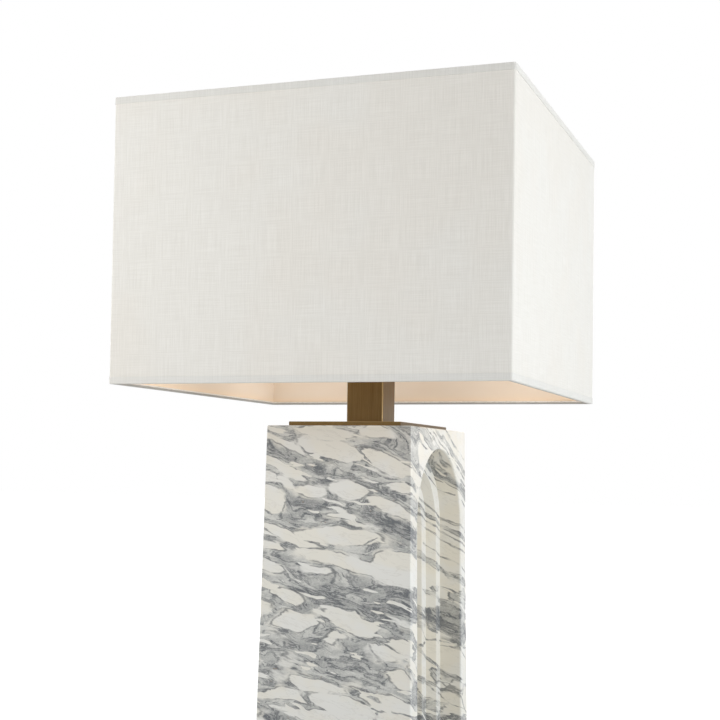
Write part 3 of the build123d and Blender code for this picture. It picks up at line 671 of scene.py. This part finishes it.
TAPE = 0.4  # thickness of the hems and the seam
SHADE_CORNER = 2.5  # outside radius of the hems at the corners of the shade
LINEN_HALF = SHADE_HALF - TAPE  # half the outside of the linen
LINEN_CORNER = SHADE_CORNER - TAPE
LINEN_THICKNESS = 0.8
HEM_DEPTH = 5.4  # outside of the hem to the far side of its inner leg
HEM_RISE = 6.5  # height of its outer leg
HEM_INNER_RISE = 1.9
HEM_INNER_CORNER = 3.0
HEM_FOLD = 0.8  # outside radius of its folds
SHARP_ANGLE = 35  # degrees between faces from which an edge shows
HOOP_STEPS = 200  # round the shade
CORNER_SHARE = 0.2  # of those steps that lie in the corners
SEAM_ROWS = 90
SEAM_WAVE = 0.08  # waves of its uneven edge to a millimetre
SEAM_WAVER = 0.03  # share of its width that comes and goes
FELT_CORNER = 4.0
FELT_STEPS, FELT_LEVELS = 320, 6
FELT_BULGE = 0.45  # its edge is rounded in this far at the top and bottom
FELT_INSET = 0.35  # mean depth of its furry edge
FELT_FUR = 0.35  # and how much that varies


def add_piece(name, mesh, slot, body, replaced):
    """Object of a mesh in millimetres that rides on a body and stands for a CAD node."""
    mesh.transform(Matrix.Scale(MM, 4))
    mesh.set_sharp_from_angle(angle=math.radians(SHARP_ANGLE))
    mesh.materials.append(FINISHES[slot])
    piece = bpy.data.objects.new(name, mesh)
    bpy.context.scene.collection.objects.link(piece)
    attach(piece, body)
    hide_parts(replaced)
    return piece


def finish_mesh(name, built):
    """Mesh of a bmesh, with its normals outward and its faces smooth."""
    bmesh.ops.recalc_face_normals(built, faces=built.faces)
    for face in built.faces:
        face.smooth = True
    mesh = bpy.data.meshes.new(name)
    built.to_mesh(mesh)
    built.free()
    return mesh


def arc_points(across, height, radius, start, end, steps=5):
    """Points round an arc of an outline, between two angles."""
    found = []
    for i in range(steps + 1):
        angle = math.radians(start + (end - start) * i / steps)
        found.append((across + radius * math.cos(angle), height + radius * math.sin(angle)))
    return found


def square_point(half, corner, share):
    """Point at a share of the way round a square with rounded corners, anticlockwise."""
    quarter, within = divmod(share * 4 % 4, 1.0)
    run = half - corner
    straight = 1 - CORNER_SHARE
    if within < straight:
        point = Vector((half, run * (2 * within / straight - 1)))
    else:
        angle = math.radians(90 * (within - straight) / CORNER_SHARE)
        point = Vector((run + corner * math.cos(angle), run + corner * math.sin(angle)))
    return Matrix.Rotation(math.radians(90 * quarter), 2) @ point


def add_tube(built, rings, steps):
    """Faces between rings of as many steps, one after another."""
    for ring, after in zip(rings, rings[1:]):
        for j in range(steps):
            built.faces.new((ring[j - 1], ring[j], after[j], after[j - 1]))


def add_closed_tube(built, rings, steps):
    """The same, with both ends closed."""
    add_tube(built, rings, steps)
    built.faces.new(rings[0])
    built.faces.new(rings[-1])


def square_hoop(name, half, corner, inner_corner, outline):
    """Closed mesh of an outline of (offset, height) points, carried round a square.

    An offset of 0 lies on the outside, with its corner radius, and the radius changes
    evenly to the inner one at the innermost offset."""
    innermost = min(offset for offset, _ in outline)
    built = bmesh.new()
    rings = []
    for i in range(HOOP_STEPS):
        ring = []
        for offset, height in outline:
            radius = corner + (inner_corner - corner) * offset / innermost
            point = square_point(half + offset, radius, i / HOOP_STEPS)
            ring.append(built.verts.new((*point, height)))
        rings.append(ring)
    add_tube(built, rings + rings[:1], len(outline))
    return finish_mesh(name, built)


def make_linen():
    """Linen stretched round the shade, with both its cut edges rounded."""
    low, high = (corner.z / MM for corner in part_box("shade_fabric"))
    radius = LINEN_THICKNESS / 2
    outline = arc_points(-radius, low + radius, radius, 180, 360)
    outline += arc_points(-radius, high - radius, radius, 0, 180)
    inner = LINEN_CORNER - LINEN_THICKNESS
    mesh = square_hoop("linen_cover", LINEN_HALF, LINEN_CORNER, inner, outline)
    return add_piece("linen_cover", mesh, "linen", "shade", "shade_fabric")


def make_hem(name, node, up):
    """Tape folded round one edge of the shade: up its outside and up behind the wire."""
    low, high = (corner.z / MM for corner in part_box(node))
    edge = low if up > 0 else high
    inside = HEM_FOLD - TAPE
    outline = [(0.0, HEM_RISE)]
    outline += arc_points(-HEM_FOLD, HEM_FOLD, HEM_FOLD, 0, -90)
    outline += arc_points(HEM_FOLD - HEM_DEPTH, HEM_FOLD, HEM_FOLD, 270, 180)
    outline += [(-HEM_DEPTH, HEM_INNER_RISE), (TAPE - HEM_DEPTH, HEM_INNER_RISE)]
    outline += arc_points(HEM_FOLD - HEM_DEPTH, HEM_FOLD, inside, 180, 270)
    outline += arc_points(-HEM_FOLD, HEM_FOLD, inside, -90, 0)
    outline += [(-TAPE, HEM_RISE)]
    outline = [(offset, edge + up * height) for offset, height in outline]
    mesh = square_hoop(name, SHADE_HALF, SHADE_CORNER, HEM_INNER_CORNER, outline)
    return add_piece(name, mesh, "hem_tape", "shade", node)


def make_seam():
    """Overlap of the linen down the middle of the back, with a turned and uneven edge."""
    low, high = (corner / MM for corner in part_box("back_seam"))
    radius = TAPE / 2
    middle = (low.y + high.y) / 2
    section = arc_points(high.x - radius, middle, radius, -90, 90)
    section += arc_points(low.x + radius, middle, radius, 90, 270)
    built = bmesh.new()
    rings = []
    for i in range(SEAM_ROWS + 1):
        z = low.z + (high.z - low.z) * i / SEAM_ROWS
        narrow = 1 - SEAM_WAVER * (1 + noise.noise(Vector((z * SEAM_WAVE, 4.0, 0.0))))
        rings.append([built.verts.new((x * narrow, y, z)) for x, y in section])
    add_closed_tube(built, rings, len(section))
    return add_piece("linen_seam", finish_mesh("linen_seam", built), "hem_tape", "shade", "back_seam")


def make_felt():
    """Felt under the foot, cut with rounded corners and a slightly furry edge."""
    low, high = (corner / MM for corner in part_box("felt_pad"))
    size = (high - low) / 2
    built = bmesh.new()
    rings = []
    for level in range(FELT_LEVELS + 1):
        share = level / FELT_LEVELS
        z = low.z + (high.z - low.z) * share
        bulge = FELT_BULGE * abs(2 * share - 1) ** 3
        ring = []
        for i in range(FELT_STEPS):
            point = square_point(1.0, FELT_CORNER / size.x, i / FELT_STEPS)
            fur = FELT_FUR * noise.noise(Vector((point.x * 60, point.y * 80, z * 1.3)))
            place = Vector((point.x * size.x, point.y * size.y))
            place -= place.normalized() * (bulge + FELT_INSET + fur)
            ring.append(built.verts.new((*place, z)))
        rings.append(ring)
    add_closed_tube(built, rings, FELT_STEPS)
    return add_piece("felt_foot", finish_mesh("felt_foot", built), "felt", "base", "felt_pad")


linen_cover = make_linen()
hem_bottom = make_hem("hem_bottom", "bottom_hem", 1)
hem_top = make_hem("hem_top", "top_hem", -1)
linen_seam = make_seam()
felt_foot = make_felt()

# ---------------------------------------------------------------- studio

MIDDLE = Vector((0.0, 0.0, 0.45))  # where the lamps aim
NEUTRAL, COOL, WARM = (1, 1, 1), (0.965, 0.985, 1.0), (1.0, 0.985, 0.96)
# Name, place, size, watts and colour of each soft lamp
LAMPS = (
    ("key", (2.6, -0.6, 0.75), (1.6, 1.4), 46, COOL),
    ("fill", (-1.06, -0.96, 0.88), (1.0, 0.8), 12.4, WARM),
    ("top", (0.0, 0.4, 2.4), (1.6, 1.6), 12, NEUTRAL),
    ("back", (-0.6, 2.2, 1.0), (1.4, 1.2), 16, NEUTRAL),
)
GLOW_X, GLOW_Y, GLOW_Z = 0.12, 0.10, 0.46  # the four small lamps inside the shade
GLOW_POWER = 0.083
GLOW_UNEVEN = 0.022  # stronger towards +X by this much, and weaker towards -X
GLOW_SIZE = 0.03
FLOOR_HALF = 14.0
FLOOR_COLOR = (0.8, 0.8, 0.8, 1)
FLOOR_GLOW = 0.42  # near the lamp, where its shadow lies; further off it is full white
FLOOR_FADE = (700.0, 2600.0)  # millimetres from the middle
WORLD_LIGHT = 0.32
# Rays that see the floor and the world white
DIRECT_RAYS = ("Is Camera Ray", "Is Glossy Ray", "Is Transmission Ray")


def add_lamp(name, kind, power):
    """New lamp in the scene."""
    data = bpy.data.lights.new(name, kind)
    data.energy = power
    lamp = bpy.data.objects.new(name, data)
    bpy.context.scene.collection.objects.link(lamp)
    return lamp


def area_light(name, place, size, power, color):
    """Soft rectangular lamp aimed at the middle of the object."""
    lamp = add_lamp(name, "AREA", power)
    lamp.data.shape = "RECTANGLE"
    lamp.data.size, lamp.data.size_y = size
    lamp.data.color = color
    aim = (MIDDLE - Vector(place)).to_track_quat("-Z", "Y").to_matrix().to_4x4()
    lamp.matrix_world = Matrix.Translation(place) @ aim


def glow_lamp(place, power):
    """Small hidden lamp inside the shade, for the light that comes through real linen."""
    lamp = add_lamp("glow", "POINT", power)
    lamp.data.shadow_soft_size = GLOW_SIZE
    lamp.location = place
    lamp.visible_camera = False
    lamp.visible_glossy = False
    lamp.visible_transmission = False


def make_floor():
    """Pale floor that shows white and keeps the soft shadow of the lamp."""
    mesh = bpy.data.meshes.new("floor")
    sides = ((-1, -1), (1, -1), (1, 1), (-1, 1))
    corners = [(x * FLOOR_HALF, y * FLOOR_HALF, 0) for x, y in sides]
    mesh.from_pydata(corners, [], [(0, 1, 2, 3)])
    floor = bpy.data.objects.new("floor", mesh)
    bpy.context.scene.collection.objects.link(floor)
    g = Graph("floor")
    direct = 0.0
    for ray in DIRECT_RAYS:
        direct = g.math("MAXIMUM", g.add("ShaderNodeLightPath", result=ray), direct)
    distance = g.add("ShaderNodeVectorMath", {0: g.place}, result=1, operation="LENGTH")
    white = g.blend(g.step(distance, *FLOOR_FADE), FLOOR_GLOW, 1.0)
    diffuse = g.add("ShaderNodeBsdfDiffuse", {"Color": FLOOR_COLOR})
    glow = {"Color": (1, 1, 1, 1), "Strength": g.math("MULTIPLY", direct, white)}
    light = g.add("ShaderNodeEmission", glow)
    both = g.add("ShaderNodeAddShader", {0: diffuse, 1: light})
    g.tree.links.new(both, g.output.inputs["Surface"])
    mesh.materials.append(g.material)


def make_world():
    """White to the camera and in reflections, soft grey as a light."""
    world = bpy.data.worlds.new("studio")
    bpy.context.scene.world = world
    world.use_nodes = True
    tree = world.node_tree
    tree.nodes.clear()
    output = tree.nodes.new("ShaderNodeOutputWorld")
    background = tree.nodes.new("ShaderNodeBackground")
    path = tree.nodes.new("ShaderNodeLightPath")
    direct = path.outputs[DIRECT_RAYS[0]]
    for ray in DIRECT_RAYS[1:]:
        larger = tree.nodes.new("ShaderNodeMath")
        larger.operation = "MAXIMUM"
        tree.links.new(direct, larger.inputs[0])
        tree.links.new(path.outputs[ray], larger.inputs[1])
        direct = larger.outputs[0]
    strength = tree.nodes.new("ShaderNodeMapRange")
    tree.links.new(direct, strength.inputs["Value"])
    strength.inputs["To Min"].default_value = WORLD_LIGHT
    strength.inputs["To Max"].default_value = 1.0
    background.inputs["Color"].default_value = (1, 1, 1, 1)
    tree.links.new(strength.outputs[0], background.inputs["Strength"])
    tree.links.new(background.outputs[0], output.inputs["Surface"])


make_floor()
make_world()
for lamp_settings in LAMPS:
    area_light(*lamp_settings)
for side in (-1, 1):
    for end in (-1, 1):
        glow_lamp((GLOW_X * side, GLOW_Y * end, GLOW_Z), GLOW_POWER + GLOW_UNEVEN * side)

bpy.context.scene.view_settings.view_transform = "Standard"
